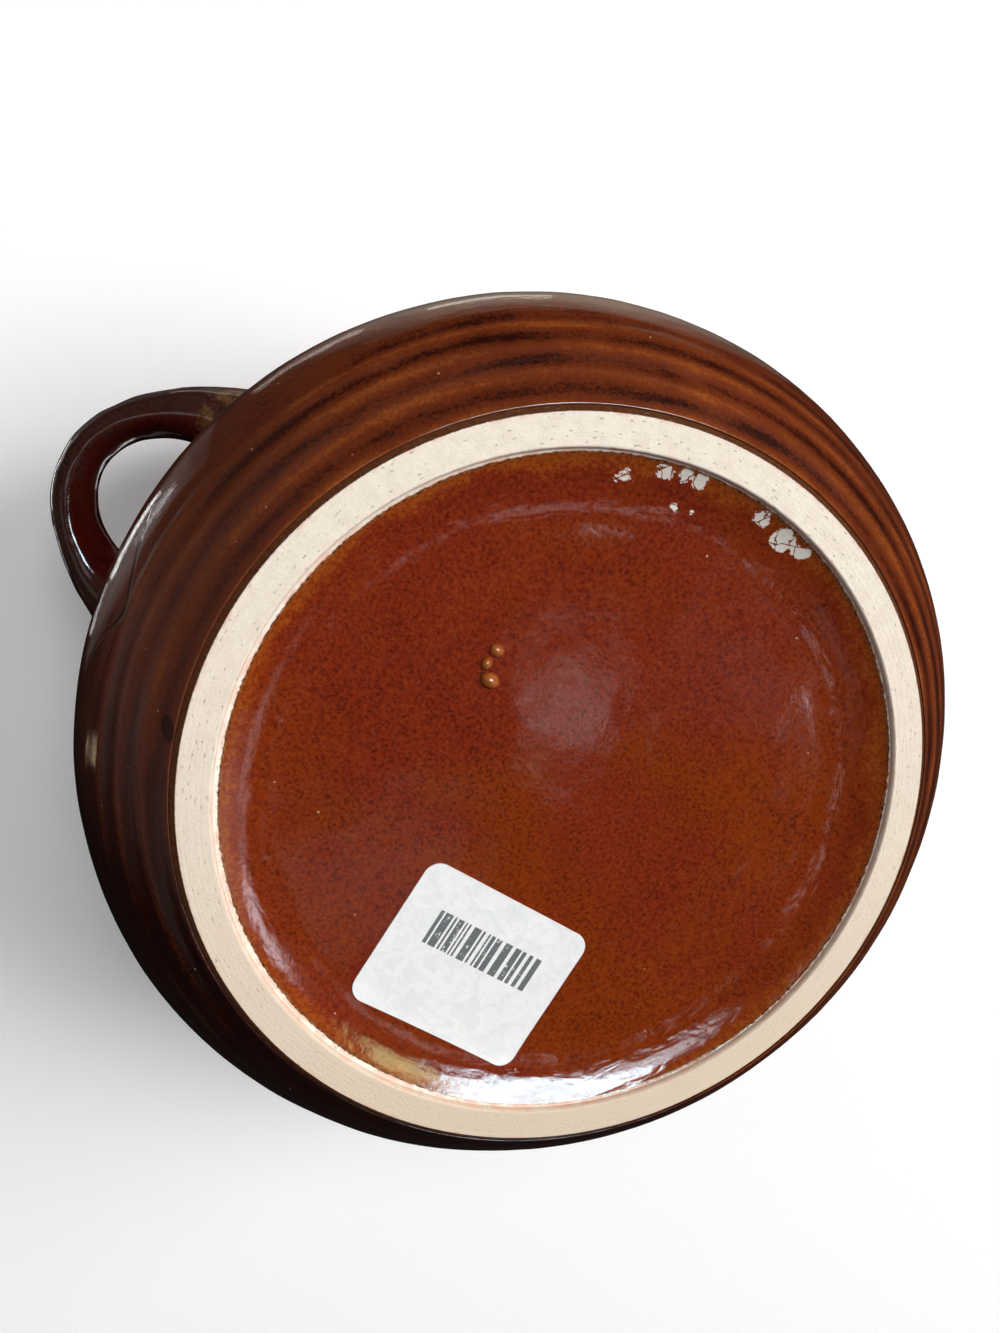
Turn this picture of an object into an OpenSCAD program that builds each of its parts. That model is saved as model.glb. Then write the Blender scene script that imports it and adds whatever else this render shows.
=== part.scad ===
/* [Body] */
// Height of the crock from its foot to the top of its rim
body_h = 70; // [60:1:85]
// Radius of the belly, the widest place of the glazed wall
belly_r = 63.7; // [58:0.1:70]
// Height of the belly above the foot
belly_z = 23; // [18:0.5:28]
// How the wall swells from foot to belly, where 1 is a straight cone and 2 a round bowl
belly_swell = 1.85; // [1.4:0.05:2.4]
// Radius of the neck under the rim
neck_r = 57.6; // [54:0.1:60]
// Height of the neck above the foot
neck_z = 58; // [52:0.5:60]
// Thickness of the wall, glaze included
wall_t = 5; // [4:0.1:6.5]
// Height of the inside floor above the foot
floor_z = 9; // [8:0.1:12]
// Radius of the flat part of the inside floor
floor_r = 38; // [30:0.5:42]
// Height over which the inside floor rounds up into the wall
inside_round = 16; // [12:0.5:20]

/* [Rim] */
// Outer radius of the rolled rim
rim_r = 60.6; // [58:0.1:63]
// Thickness of the rolled rim
rim_t = 5.8; // [5:0.1:7]

/* [Foot] */
// Outer radius of the ring that the crock stands on
foot_r = 48.5; // [44:0.1:52]
// Width of the bare ring
foot_w = 4.4; // [3:0.1:6]
// Rounding of the ring's inner edge, up to the line where the glaze starts
foot_round = 0.8; // [0.4:0.1:1.6]
// Height of the bare strip outside the ring
bare_h = 0.5; // [0.2:0.1:1]
// Depth of the recess inside the ring
recess = 3; // [2:0.1:4]
// How much deeper the middle of the base lies than its edge
dish = 0.7; // [0:0.1:1.5]
// Width of the soft cove between the base and the ring
base_round = 8; // [5:0.1:11]

/* [Ribs] */
// Number of throwing ribs above the foot
ribs = 4; // [2:1:5]
// Height from one rib crest to the next
rib_pitch = 3.3; // [2.5:0.1:4]
// Height of the lowest crest above the foot
rib_first = 0.4; // [0:0.1:1]
// Depth of the grooves between the crests
rib_depth = 0.2; // [0.1:0.05:0.5]

/* [Glaze] */
// Thickness of the glaze coats
glaze_t = 0.4; // [0.3:0.05:0.6]
// Thickness of the outer coat where it breaks thin on a rib crest
crest_t = 0.2; // [0.15:0.05:0.3]

/* [Handle] */
// Height of the handle's middle above the foot
ear_z = 47; // [42:0.5:49]
// How far inside the wall's surface the strap's middle line starts
root_sink = 1.4; // [0.5:0.1:3]
// Reach of the strap's middle line from there
ear_reach = 18.2; // [15:0.1:24]
// Half of the distance between the middles of the two roots
ear_spread = 15.9; // [13:0.1:19]
// How pointed the loop is, where 1 is half an ellipse
ear_point = 1.1; // [1:0.05:1.4]
// Thickness of the strap at its outermost place
strap_t = 5.9; // [5:0.1:8]
// Height of the strap at its outermost place
strap_h = 13; // [10:0.1:15]
// Thickness of the strap at its roots
root_t = 15; // [12:0.1:17]
// Height of the strap at its roots
root_h = 17; // [15:0.1:18]

/* [Beads] */
// Diameter of the largest drop of glaze on the base
bead_d = 2.4; // [1.5:0.1:3]

/* [Label] */
// Length of the paper label
label_l = 25.4; // [20:0.1:27]
// Width of the paper label
label_w = 21.4; // [18:0.1:22]
// Radius of the label's corners
label_corner = 2.2; // [1:0.1:4]
// Thickness of the paper
label_t = 0.15; // [0.1:0.05:0.3]
// Distance of the label's middle from the crock's middle, away from the handle
label_x = 2; // [0:0.1:4]
// Distance of the label's middle from the crock's middle, across the handle's line
label_y = 26.3; // [24:0.1:27]

/* [Hidden] */
// Overrun of every cut past what it cuts
over = 1;
// Steps of the curves, counted
rib_steps = 10;
wall_steps = 18;
neck_steps = 6;
rim_steps = 6;
floor_steps = 14;
base_steps = 8;
// Top of the ribbed stretch, and the height of the rim's round
ribs_top = rib_first + ribs * rib_pitch;
rim_z = body_h - rim_t / 2;
// Inner radius of the ring at the line where the base glaze starts
ring_r = foot_r - foot_w;
// Height at which the inside floor has become the wall
inside_z = floor_z + inside_round;
// Roundness of the strap's section: 2 is an ellipse, more is squarer and less slants off. The
// side of the finger gap slants up from a ridge along the strap's edges.
outer_power = 2.6;
inner_power = 1.7;
// How late the strap widens on its way to a root
flare_power = 3.3;
strap_sides = 24;
strap_rings = 30;
// Distance from the axis at which the strap's middle line leaves its straight roots
ear_wall_r = plain_r(ear_z) - root_sink;
// Straight stretch of each root into the wall, long enough to reach past its surface
root_run = ear_wall_r - sqrt(pow(ear_wall_r, 2) - pow(ear_spread + root_t / 2, 2)) + wall_t / 2;
// Places of the drops as shares of the ring's radius, and their sizes as shares of the largest
bead_place_shares = [[0.392, 0.175], [0.427, 0.212], [0.423, 0.258]];
bead_size_shares = [1, 0.72, 0.8];
// Height of a drop as a share of its diameter
bead_rise_share = 0.36;

clay = [0.93, 0.87, 0.79];
brown = [0.33, 0.15, 0.07];
amber = [0.45, 0.20, 0.08];
dark = [0.22, 0.11, 0.07];
honey = [0.62, 0.33, 0.12];
paper = [0.93, 0.95, 0.96];

// Rises smoothly from 0 to 1 as u goes from 0 to 1
function ease(u) = (1 - cos(180 * u)) / 2;
// A list of evenly spaced numbers from a to b
function spaced(a, b, steps) = [for (i = [0:steps]) a + (b - a) * i / steps];
function reversed(list) = [for (i = [len(list) - 1:-1:0]) list[i]];

// Radius of the glazed wall at height z without its ribs: foot to belly, belly to neck, neck to rim
function plain_r(z) =
    z < belly_z ? belly_r - (belly_r - foot_r) * pow(1 - z / belly_z, belly_swell)
    : z < neck_z ? belly_r - (belly_r - neck_r) * ease((z - belly_z) / (neck_z - belly_z))
    : neck_r + (rim_r - neck_r) * ease((z - neck_z) / (rim_z - neck_z));
// 1 on a rib crest, 0 at the bottom of a groove
function crest(z) = (1 + cos(360 * (z - rib_first) / rib_pitch)) / 2;
// 1 among the ribs, fading to 0 over the last groove below the smooth band
function ribbed(z) =
    z < ribs_top - rib_pitch ? 1
    : z < ribs_top ? 1 - ease((z - ribs_top + rib_pitch) / rib_pitch)
    : 0;
function glazed_r(z) = plain_r(z) - rib_depth * (1 - crest(z)) * ribbed(z);
// Thickness of the outer coat, thin on the crests and full in the grooves
function coat(z) = glaze_t - (glaze_t - crest_t) * crest(z) * ribbed(z);

// Heights of the points of the wall from z up to the rim's round
function wall_heights(z) = concat(
    spaced(z, ribs_top, ribs * rib_steps),
    [for (h = spaced(ribs_top, neck_z, wall_steps)) if (h > ribs_top) h],
    [for (h = spaced(neck_z, rim_z, neck_steps)) if (h > neck_z && h < rim_z) h]);
// Outside of the wall, c is 0 on the glaze and 1 on the clay under it
function outside(z, c) = [for (h = wall_heights(z)) [glazed_r(h) - c * coat(h), h]];
// Round of the rim from one angle to another, with a coat of thickness t taken off
function rim_arc(from, to, t) = [for (a = spaced(from, to, rim_steps))
    [rim_r - rim_t / 2 + (rim_t / 2 - t) * cos(a), rim_z + (rim_t / 2 - t) * sin(a)]];
// Radius of the inside wall at height z
function inside_r(z) = z < neck_z ? plain_r(z) - wall_t
    : neck_r - wall_t + (rim_r - rim_t - neck_r + wall_t) * ease((z - neck_z) / (rim_z - neck_z));
// Inside from the rim down to the middle of the floor, with a coat of thickness t taken off
function inside(t) = concat(
    [for (h = spaced(rim_z, neck_z, neck_steps)) if (h < rim_z) [inside_r(h) + t, h]],
    [for (h = spaced(neck_z, inside_z, wall_steps)) if (h < neck_z) [inside_r(h) + t, h]],
    [for (a = spaced(0, 90, floor_steps)) if (a > 0)
        [floor_r + (inside_r(inside_z) + t - floor_r) * cos(a), inside_z - (inside_round + t) * sin(a)]],
    [[0, floor_z - t]]);
// Height of the base at radius r, with a coat of thickness t taken off
function base_z(r, t) = recess + t + dish * (1 - pow(r / ring_r, 2));
// Base from its middle, down a soft cove, out to the glaze line on the ring's inner edge
function base(t) = concat(
    [for (r = spaced(0, ring_r - base_round, base_steps)) [r, base_z(r, t)]],
    [for (u = spaced(0, 1, base_steps)) if (u > 0)
        let (r = ring_r - base_round + (base_round + t) * u)
        [r, foot_round + (base_z(r, t) - foot_round) * (1 - pow(u, 2))]]);
// Bare foot from the glaze line inside to the bare strip outside
function foot() = concat(
    [for (a = spaced(0, 90, rim_steps))
        [ring_r + foot_round / 2 * (1 - cos(a)), foot_round * (1 - sin(a))]],
    [[glazed_r(0) - coat(0), 0]]);

// The whole bare clay body as one turned piece
module clay_body() {
    color(clay) rotate_extrude() polygon(concat(
        base(glaze_t), foot(), outside(bare_h, 1),
        rim_arc(0, 180, glaze_t), inside(glaze_t)));
}

// Coat on the outside wall, open where the handle's clay meets the body's
module outer_glaze() {
    color(brown) difference() {
        rotate_extrude() polygon(concat(
            outside(bare_h, 0), rim_arc(0, 90, 0),
            rim_arc(90, 0, glaze_t), reversed(outside(bare_h, 1))));
        strap(0);
    }
}

// Coat on the inside wall and floor, and over the inner half of the rim
module liner_glaze() {
    color(amber) rotate_extrude() polygon(concat(
        rim_arc(90, 180, 0), inside(0),
        reversed(inside(glaze_t)), rim_arc(180, 90, glaze_t)));
}

// Coat inside the foot ring
module base_glaze() {
    color(amber) rotate_extrude() polygon(concat(base(0), reversed(base(glaze_t))));
}

// Middle line of the handle: two straight roots and a slightly pointed half ellipse between them
function ear_line(a) =
    abs(a) > 90 ? [ear_wall_r - root_run * (abs(a) - 90) / 90, sign(a) * ear_spread, ear_z]
    : [ear_wall_r + ear_reach * pow(cos(a), ear_point), ear_spread * sin(a), ear_z];
// Direction across the strap, square to the middle line and pointing away from the finger gap
function ear_out(a) =
    abs(a) >= 90 ? [0, sign(a), 0]
    : let (d = [ear_spread * cos(a), ear_reach * ear_point * pow(cos(a), ear_point - 1) * sin(a), 0])
        d / norm(d);
// 0 at the outermost place and 1 at a root
function flare(a) = pow(min(abs(a), 90) / 90, flare_power);
// One ring of points round the strap, g is how far it stands out from the clay
function strap_ring(a, g) =
    let (t = (strap_t + (root_t - strap_t) * flare(a)) / 2 - glaze_t + g)
    let (h = (strap_h + (root_h - strap_h) * flare(a)) / 2 - glaze_t + g)
    [for (i = [0:strap_sides - 1])
        let (b = 360 * i / strap_sides)
        let (share = 2 / (cos(b) < 0 ? inner_power : outer_power))
        ear_line(a)
        + ear_out(a) * t * sign(cos(b)) * pow(abs(cos(b)), share)
        + [0, 0, h * sign(sin(b)) * pow(abs(sin(b)), share)]];

// The strap with its roots run on into the wall
module strap(g) {
    angles = concat([-180], spaced(-90, 90, strap_rings), [180]);
    points = [for (a = angles) each strap_ring(a, g)];
    last = len(angles) - 1;
    sides = [for (k = [0:last - 1]) for (i = [0:strap_sides - 1])
        let (p = k * strap_sides + i, q = k * strap_sides + (i + 1) % strap_sides)
        each [[p, q, p + strap_sides], [q, q + strap_sides, p + strap_sides]]];
    first_cap = [for (i = [1:strap_sides - 2]) [0, i + 1, i]];
    last_cap = [for (i = [1:strap_sides - 2]) [for (k = [0, i, i + 1]) last * strap_sides + k]];
    polyhedron(points, concat(sides, first_cap, last_cap));
}

// All that lies inside the wall's clay or glaze at the height of the handle
module wall_core(c) {
    wall = [for (p = outside(bare_h, c)) if (abs(p.y - ear_z) < root_h) p];
    rotate_extrude() polygon(concat([[0, wall[0].y]], wall, [[0, wall[len(wall) - 1].y]]));
}

// The clay loop, its two roots seated on the clay wall
module ear_handle() {
    color(clay) difference() {
        strap(0);
        wall_core(1);
    }
}

// Coat round the loop, ending on the wall's own coat
module handle_glaze() {
    color(dark) difference() {
        strap(glaze_t);
        strap(0);
        wall_core(0);
    }
}

// Three drops that ran and froze on the base
module glaze_beads() {
    color(honey) for (i = [0:len(bead_size_shares) - 1]) {
        place = bead_place_shares[i] * ring_r;
        size = bead_d * bead_size_shares[i];
        rise = size * bead_rise_share;
        ball_r = (pow(size / 2, 2) + pow(rise, 2)) / (2 * rise);
        difference() {
            translate([place.x, place.y, base_z(norm(place), 0) + ball_r - rise]) sphere(ball_r, $fn = 48);
            base_core();
        }
    }
}

// All that lies above the surface of the base glaze
module base_core() {
    rotate_extrude() polygon(concat(base(0), [[ring_r, floor_z + over], [0, floor_z + over]]));
}

// Outline of the label with its round corners
module label_outline() {
    for (x = [-1, 1], y = [-1, 1])
        translate([x * (label_l / 2 - label_corner), y * (label_w / 2 - label_corner)])
            circle(label_corner, $fn = 48);
    square([label_l - 2 * label_corner, label_w], center = true);
    square([label_l, label_w - 2 * label_corner], center = true);
}

// Paper sticker that follows the base
module paper_label() {
    color(paper) intersection() {
        translate([-label_x, -label_y, 0]) linear_extrude(floor_z) label_outline();
        rotate_extrude() polygon(concat(
            base(0),
            reversed([for (p = base(0)) if (p.x < ring_r - label_t) [p.x, p.y - label_t]])));
    }
}

clay_body();
ear_handle();
outer_glaze();
liner_glaze();
base_glaze();
handle_glaze();
glaze_beads();
paper_label();
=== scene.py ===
"""A small stoneware crock for onion soup, glazed brown, with one ear handle."""
import math

import bpy
from mathutils import Matrix, Vector


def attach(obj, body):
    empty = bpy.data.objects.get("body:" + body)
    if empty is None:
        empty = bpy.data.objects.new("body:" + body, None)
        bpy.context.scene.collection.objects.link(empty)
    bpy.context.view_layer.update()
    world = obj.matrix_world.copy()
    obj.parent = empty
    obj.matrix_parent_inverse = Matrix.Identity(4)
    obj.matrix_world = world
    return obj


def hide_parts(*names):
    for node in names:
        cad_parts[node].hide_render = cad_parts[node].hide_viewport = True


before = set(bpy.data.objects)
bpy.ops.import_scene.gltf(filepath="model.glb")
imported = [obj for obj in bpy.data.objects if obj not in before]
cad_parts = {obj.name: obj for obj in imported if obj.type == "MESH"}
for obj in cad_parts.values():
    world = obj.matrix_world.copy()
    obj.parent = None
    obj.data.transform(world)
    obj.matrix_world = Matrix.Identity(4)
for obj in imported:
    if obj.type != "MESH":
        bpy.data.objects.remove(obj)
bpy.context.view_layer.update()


# The clay body

# One piece of cream stoneware, turned on a wheel and fired. Only the ring that it stands on is
# left bare: the glaze stops there in two ragged lines, with a pink flush beside them.

MM = 0.001
FOOT_R = 48.5
RING_R = 44.1
BARE_H = 0.5
GLAZE_LINE = FOOT_R - 0.22
BUMP_DEPTH = 0.3
# The side the light comes from: the ring is painted darker away from it, as painted shade.
LIT_SIDE = (0.5, 0.83, 0.0)


def node(tree, kind, feeds, **settings):
    """Adds a shader node. feeds gives its inputs as plain values or as outputs of other nodes."""
    made = tree.nodes.new("ShaderNode" + kind)
    for name, value in settings.items():
        setattr(made, name, value)
    for key, value in feeds.items():
        if isinstance(value, bpy.types.NodeSocket):
            tree.links.new(value, made.inputs[key])
        else:
            made.inputs[key].default_value = value
    return made


def calc(tree, operation, *values):
    return node(tree, "Math", dict(enumerate(values)), operation=operation).outputs[0]


def tint(tree, share, first, second):
    """The first colour turning into the second one."""
    return node(tree, "Mix", {0: share, 6: first, 7: second}, data_type="RGBA").outputs[2]


def fade(tree, value, start, end, low=0.0, high=1.0):
    """Goes smoothly from low to high while value goes from start to end."""
    feeds = {"Value": value, "From Min": start, "From Max": end, "To Min": low, "To Max": high}
    return node(tree, "MapRange", feeds, interpolation_type="SMOOTHSTEP").outputs[0]


def grain(tree, where, scale, detail=3.0, rough=0.6, warp=0.0):
    feeds = {"Vector": where, "Scale": scale, "Detail": detail, "Roughness": rough, "Distortion": warp}
    return node(tree, "TexNoise", feeds).outputs["Fac"]


def in_mm(tree):
    """The surface's own place in millimetres."""
    place = node(tree, "TexCoord", {}).outputs["Object"]
    return node(tree, "Mapping", {"Vector": place, "Scale": (1000, 1000, 1000)}).outputs[0]


def linear(channel):
    share = channel / 255
    return ((share + 0.055) / 1.055) ** 2.4 if channel > 10 else share / 12.92


def rgb(red, green, blue):
    """A colour as it is read off a picture, from 0 to 255."""
    return (linear(red), linear(green), linear(blue), 1.0)


def socket_kind(value):
    if isinstance(value, float):
        return "NodeSocketFloat"
    return "NodeSocketColor" if len(value) == 4 else "NodeSocketVector"


def new_group(name, inputs, outputs):
    """A shader node group with its sockets. Gives the group, its input node and its output node."""
    group = bpy.data.node_groups.new(name, "ShaderNodeTree")
    for label, value in inputs.items():
        made = group.interface.new_socket(label, in_out="INPUT", socket_type=socket_kind(value))
        made.default_value = value
    for label in outputs:
        kind = "NodeSocketColor" if label == "Colour" else "NodeSocketFloat"
        group.interface.new_socket(label, in_out="OUTPUT", socket_type=kind)
    return group, group.nodes.new("NodeGroupInput").outputs, group.nodes.new("NodeGroupOutput").inputs


def give(tree, sockets, **results):
    for label, value in results.items():
        tree.links.new(value, sockets[label])


def use(tree, group, **feeds):
    """Puts a node group to use, with its sockets fed by name. Gives its outputs."""
    return node(tree, "Group", feeds, node_tree=group).outputs


def vector(tree, operation, first, second):
    return node(tree, "VectorMath", {0: first, 1: second}, operation=operation).outputs


def pushed_about(tree, where, scale):
    """The place, pushed about by a noise of that scale."""
    push = node(tree, "TexNoise", {"Vector": where, "Scale": scale}).outputs["Color"]
    return vector(tree, "ADD", where, push)[0]


def reach_to(tree, place, direction):
    """How far the place lies in a direction from the crock's axis, in mm."""
    return vector(tree, "DOT_PRODUCT", place, direction)["Value"]


# Cream clay: fine sandy grain, paler and darker clouds, lines from the wheel, iron specks, and
# short grey dashes where grit was dragged round while the foot was trimmed.
bare_clay, gets, puts = new_group(
    "Bare clay",
    {"Place": (0.0, 0.0, 0.0), "Clay": rgb(246, 233, 217)},
    ["Colour", "Roughness", "Height"])
t = bare_clay
sand = grain(t, gets["Place"], 2.6, 4.0, 0.7)
clouds = grain(t, gets["Place"], 0.5, 3.0, 0.6)
split = node(t, "SeparateXYZ", {0: gets["Place"]}).outputs
square_x = calc(t, "MULTIPLY", split[0], split[0])
away = calc(t, "SQRT", calc(t, "MULTIPLY_ADD", split[1], split[1], square_x))
about = calc(t, "MULTIPLY", calc(t, "ARCTAN2", split[1], split[0]), FOOT_R)
wheel_way = {0: calc(t, "MULTIPLY", away, 3.2), 1: calc(t, "MULTIPLY", about, 0.05)}
wheel = node(t, "CombineXYZ", wheel_way).outputs[0]
lines = grain(t, wheel, 1.0, 3.0, 0.6)
trail = node(t, "CombineXYZ", {0: calc(t, "MULTIPLY", away, 2.6), 1: about, 2: split[2]}).outputs[0]
dash_cells = node(t, "TexVoronoi", {"Vector": pushed_about(t, trail, 0.8), "Scale": 0.72})
dash_pick = node(t, "SeparateColor", {0: dash_cells.outputs["Color"]}).outputs
worn_band = fade(t, grain(t, gets["Place"], 0.22, 2.0, 0.5), 0.36, 0.6, 0.3, 0.9)
dashes = calc(t, "MULTIPLY", fade(t, dash_cells.outputs["Distance"], 0.14, 0.26, 1.0, 0.0),
              fade(t, calc(t, "SUBTRACT", worn_band, dash_pick[0]), 0.0, 0.05))
dashes = calc(t, "MULTIPLY", dashes, fade(t, sand, 0.4, 0.52))
grit = fade(t, grain(t, gets["Place"], 5.0, 2.0, 0.6), 0.6, 0.72, 0.0, 0.35)
iron_cells = node(t, "TexVoronoi", {"Vector": gets["Place"], "Scale": 0.3})
iron_pick = node(t, "SeparateColor", {0: iron_cells.outputs["Color"]}).outputs
iron = calc(t, "MULTIPLY", fade(t, iron_cells.outputs["Distance"], 0.03, 0.05, 1.0, 0.0),
            fade(t, iron_pick[1], 0.6, 0.65))
shade = tint(t, fade(t, clouds, 0.4, 0.66, 0.0, 0.5), gets["Clay"], rgb(232, 217, 199))
shade = tint(t, fade(t, sand, 0.5, 0.74, 0.0, 0.4), shade, rgb(212, 196, 177))
shade = tint(t, fade(t, lines, 0.52, 0.75, 0.0, 0.3), shade, rgb(252, 243, 231))
shade = tint(t, grit, shade, rgb(176, 164, 148))
shade = tint(t, calc(t, "MULTIPLY", dashes, 0.5), shade, rgb(150, 136, 120))
shade = tint(t, calc(t, "MULTIPLY", iron, 0.8), shade, rgb(70, 58, 50))
height = calc(t, "MULTIPLY_ADD", lines, 0.35, calc(t, "MULTIPLY", sand, 0.5))
height = calc(t, "SUBTRACT", height, calc(t, "MULTIPLY", dashes, 0.6))
give(t, puts, Colour=shade, Roughness=fade(t, sand, 0.2, 0.8, 0.78, 0.93), Height=height)

# A line where one finish stops, broken up as glaze creeps and chips. Mask is 1 where Distance is
# below 0.
ragged_line, gets, puts = new_group(
    "Ragged line",
    {"Place": (0.0, 0.0, 0.0), "Distance": 0.0, "Spread": 0.4, "Scale": 1.0, "Softness": 0.06},
    ["Mask"])
t = ragged_line
wander = calc(t, "SUBTRACT", grain(t, gets["Place"], gets["Scale"], 5.0, 0.68), 0.5)
strayed = calc(t, "MULTIPLY", wander, gets["Spread"])
line = calc(t, "MULTIPLY_ADD", strayed, 2.0, gets["Distance"])
soft_from = calc(t, "MULTIPLY", gets["Softness"], -1.0)
give(t, puts, Mask=fade(t, line, soft_from, gets["Softness"], 1.0, 0.0))


def finish(name, colour_of):
    """A new material. colour_of(tree, place) gives the sockets and values of its Principled BSDF,
    then the height and the strength of its bump."""
    material = bpy.data.materials.new(name)
    material.use_nodes = True
    tree = material.node_tree
    shader = tree.nodes["Principled BSDF"]
    feeds, height, strength = colour_of(tree, in_mm(tree))
    bump = node(tree, "Bump", {"Strength": strength, "Distance": BUMP_DEPTH * MM, "Height": height})
    feeds["Normal"] = bump.outputs[0]
    for label, value in feeds.items():
        if isinstance(value, bpy.types.NodeSocket):
            tree.links.new(value, shader.inputs[label])
        else:
            shader.inputs[label].default_value = value
    return material


def from_axis(tree, place):
    """Distance from the crock's axis, in mm."""
    flat = vector(tree, "MULTIPLY", place, (1.0, 1.0, 0.0))[0]
    return node(tree, "VectorMath", {0: flat}, operation="LENGTH").outputs["Value"]


def foot_finish(tree, place):
    clay = use(tree, bare_clay, Place=place)
    out = from_axis(tree, place)
    inner = calc(tree, "SUBTRACT", out, RING_R)
    outer = calc(tree, "SUBTRACT", GLAZE_LINE, out)
    film = use(tree, ragged_line, Place=place, Distance=outer, Spread=0.12, Scale=2.6)[0]
    blush = grain(tree, place, 0.45, 3.0, 0.6)
    flush_in = calc(tree, "MULTIPLY", fade(tree, inner, 0.0, 0.5, 0.5, 0.0), fade(tree, blush, 0.4, 0.6))
    flush_out = calc(tree, "MULTIPLY", fade(tree, outer, 0.0, 0.5, 0.7, 0.0), fade(tree, blush, 0.45, 0.65))
    flush = calc(tree, "MULTIPLY", calc(tree, "MAXIMUM", flush_in, flush_out), 0.75)
    # The ring is painted darker away from one side, a painted shade where less light falls on it.
    toward = reach_to(tree, place, LIT_SIDE)
    shaded_from_light = tint(tree, fade(tree, toward, 36.0, -50.0), clay["Colour"], rgb(228, 208, 184))
    colour = tint(tree, flush, shaded_from_light, rgb(233, 165, 140))
    fringe = tint(tree, fade(tree, grain(tree, place, 1.9), 0.35, 0.65), rgb(84, 40, 20), rgb(92, 56, 30))
    colour = tint(tree, film, colour, fringe)
    rough = node(tree, "Mix", {0: film, 2: clay["Roughness"], 3: 0.25}).outputs[0]
    height = calc(tree, "MULTIPLY_ADD", film, 0.8, clay["Height"])
    return {"Base Color": colour, "Roughness": rough}, height, 0.5


for name in ("clay_body", "ear_handle"):
    clay_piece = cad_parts[name]
    clay_piece.data.materials.clear()
    clay_piece.data.materials.append(finish("Bisque " + name.replace("_", " "), foot_finish))


# The outside glaze

# A coat of brown glaze on the outside wall, from just above the ring to the top of the rim. It
# runs thin and amber over the throwing ribs and lies thick and dark in the grooves.

BODY_H, BELLY_R, BELLY_Z, BELLY_SWELL = 70.0, 63.7, 23.0, 1.85
NECK_R, NECK_Z, RIM_R, RIM_T = 57.6, 58.0, 60.6, 5.8
RIM_Z = BODY_H - RIM_T / 2
RIBS, RIB_PITCH, RIB_FIRST, RIB_DEPTH = 4, 3.3, 0.4, 0.13
RIBS_TOP = RIB_FIRST + RIBS * RIB_PITCH
GLAZE_T, CREST_T = 0.4, 0.2
GLASS_IOR = 1.56
SIDES = 256


def ease(u):
    return (1 - math.cos(math.pi * u)) / 2


def plain_r(z):
    """Radius of the wall at height z, without its ribs."""
    if z < BELLY_Z:
        return BELLY_R - (BELLY_R - FOOT_R) * (1 - z / BELLY_Z) ** BELLY_SWELL
    if z < NECK_Z:
        return BELLY_R - (BELLY_R - NECK_R) * ease((z - BELLY_Z) / (NECK_Z - BELLY_Z))
    return NECK_R + (RIM_R - NECK_R) * ease((z - NECK_Z) / (RIM_Z - NECK_Z))


def crest(z):
    """Two values: 1 on a rib and 0 in a groove, and 1 among the ribs and 0 above them."""
    ribbed = 1 - ease(min(1.0, max(0.0, (z - RIBS_TOP + RIB_PITCH) / RIB_PITCH)))
    return (1 + math.cos(2 * math.pi * (z - RIB_FIRST) / RIB_PITCH)) / 2 * ribbed, ribbed


def glazed_r(z):
    high, ribbed = crest(z)
    return plain_r(z) - RIB_DEPTH * (ribbed - high)


def coat(z):
    return GLAZE_T - (GLAZE_T - CREST_T) * crest(z)[0]


def spaced(start, end, steps):
    return [start + (end - start) * i / steps for i in range(steps + 1)]


def pull_up(name, outline):
    """Pulls a ring through an outline of (radius, height) points in mm, as a pot is thrown, and
    leaves it in edit mode."""
    bpy.ops.object.select_all(action="DESELECT")
    radius, height = outline[0]
    bpy.ops.mesh.primitive_circle_add(vertices=SIDES, radius=radius * MM, location=(0, 0, height * MM))
    made = bpy.context.object
    made.name = made.data.name = name
    bpy.ops.object.transform_apply(location=True)
    bpy.ops.object.mode_set(mode="EDIT")
    bpy.ops.mesh.select_all(action="SELECT")
    for (r0, z0), (r1, z1) in zip(outline, outline[1:]):
        bpy.ops.mesh.extrude_region_move(TRANSFORM_OT_translate={"value": (0, 0, (z1 - z0) * MM)})
        bpy.ops.transform.resize(value=(r1 / r0, r1 / r0, 1), center_override=(0, 0, z1 * MM))
    return made


def select_open_edges():
    """Selects the rings where a mesh is still open, and nothing else."""
    bpy.ops.mesh.select_all(action="DESELECT")
    bpy.ops.mesh.select_non_manifold(
        extend=False, use_wire=False, use_boundary=True, use_multi_face=False,
        use_non_contiguous=False, use_verts=False)


def finish_mesh():
    """Turns the faces of a mesh in edit mode outwards, and ends it smooth in object mode."""
    bpy.ops.mesh.select_all(action="SELECT")
    bpy.ops.mesh.normals_make_consistent(inside=False)
    bpy.ops.object.mode_set(mode="OBJECT")
    bpy.ops.object.shade_smooth()


def uneven(piece, size, amount, group=None):
    """Takes the machine look off a surface, with soft dents of a size and depth in mm."""
    cloud = bpy.data.textures.new("Dents " + piece.name, "CLOUDS")
    cloud.noise_scale = size * MM
    change = piece.modifiers.new("Dents", "DISPLACE")
    change.texture = cloud
    change.texture_coords = "LOCAL"
    change.strength = amount * MM
    change.mid_level = 0.5
    if group:
        change.vertex_group = group
    bpy.context.view_layer.objects.active = piece
    bpy.ops.object.modifier_apply(modifier=change.name)


def rim_roll(thin, turns):
    """Points round the roll of the rim at turns in radians, with a coat of that thickness taken off."""
    roll = RIM_T / 2 - thin
    return [(RIM_R - RIM_T / 2 + roll * math.cos(a), RIM_Z + roll * math.sin(a)) for a in turns]


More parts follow.
